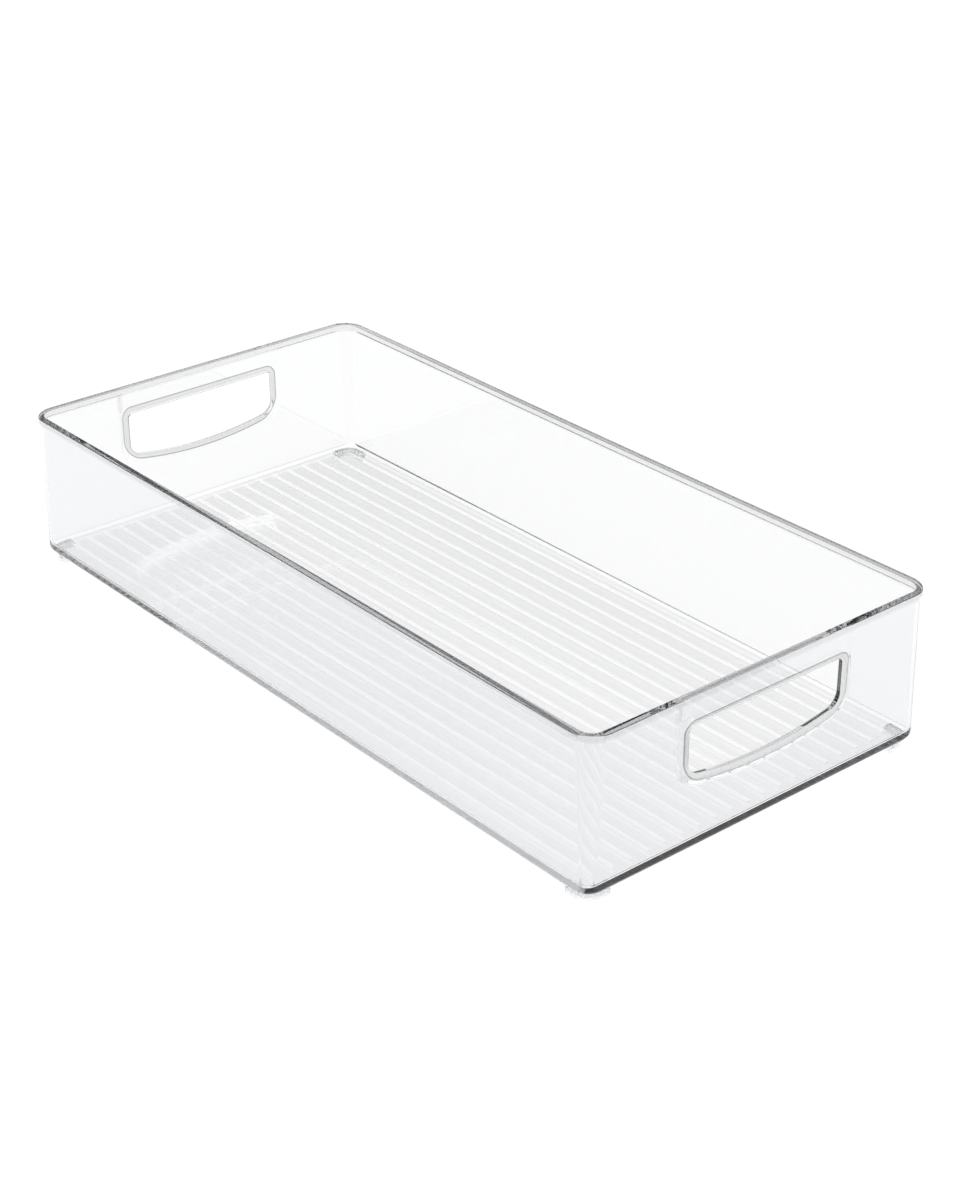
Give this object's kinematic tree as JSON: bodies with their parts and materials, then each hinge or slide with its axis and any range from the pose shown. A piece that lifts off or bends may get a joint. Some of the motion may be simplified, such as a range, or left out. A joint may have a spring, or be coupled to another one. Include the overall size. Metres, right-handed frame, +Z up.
{
  "type": "fridge bin",
  "caption": "Low rectangular clear fridge bin with a rounded rim, ribbed floor, bowed finger openings in its end walls and soft corner feet.",
  "frame": {"origin": "middle of the footprint, at the level the feet stand on", "axes": "+X along the length, +Y across the width, +Z up through the open top"},
  "size_m": [0.412, 0.199, 0.078],
  "materials": {
    "clear_plastic": "polished, water clear",
    "foot_plastic": "translucent, slightly milky"
  },
  "bodies": {
    "root": {"bin_body": "clear_plastic", "foot_front_left": "foot_plastic", "foot_front_right": "foot_plastic", "foot_back_left": "foot_plastic", "foot_back_right": "foot_plastic"}
  },
  "joints": []
}
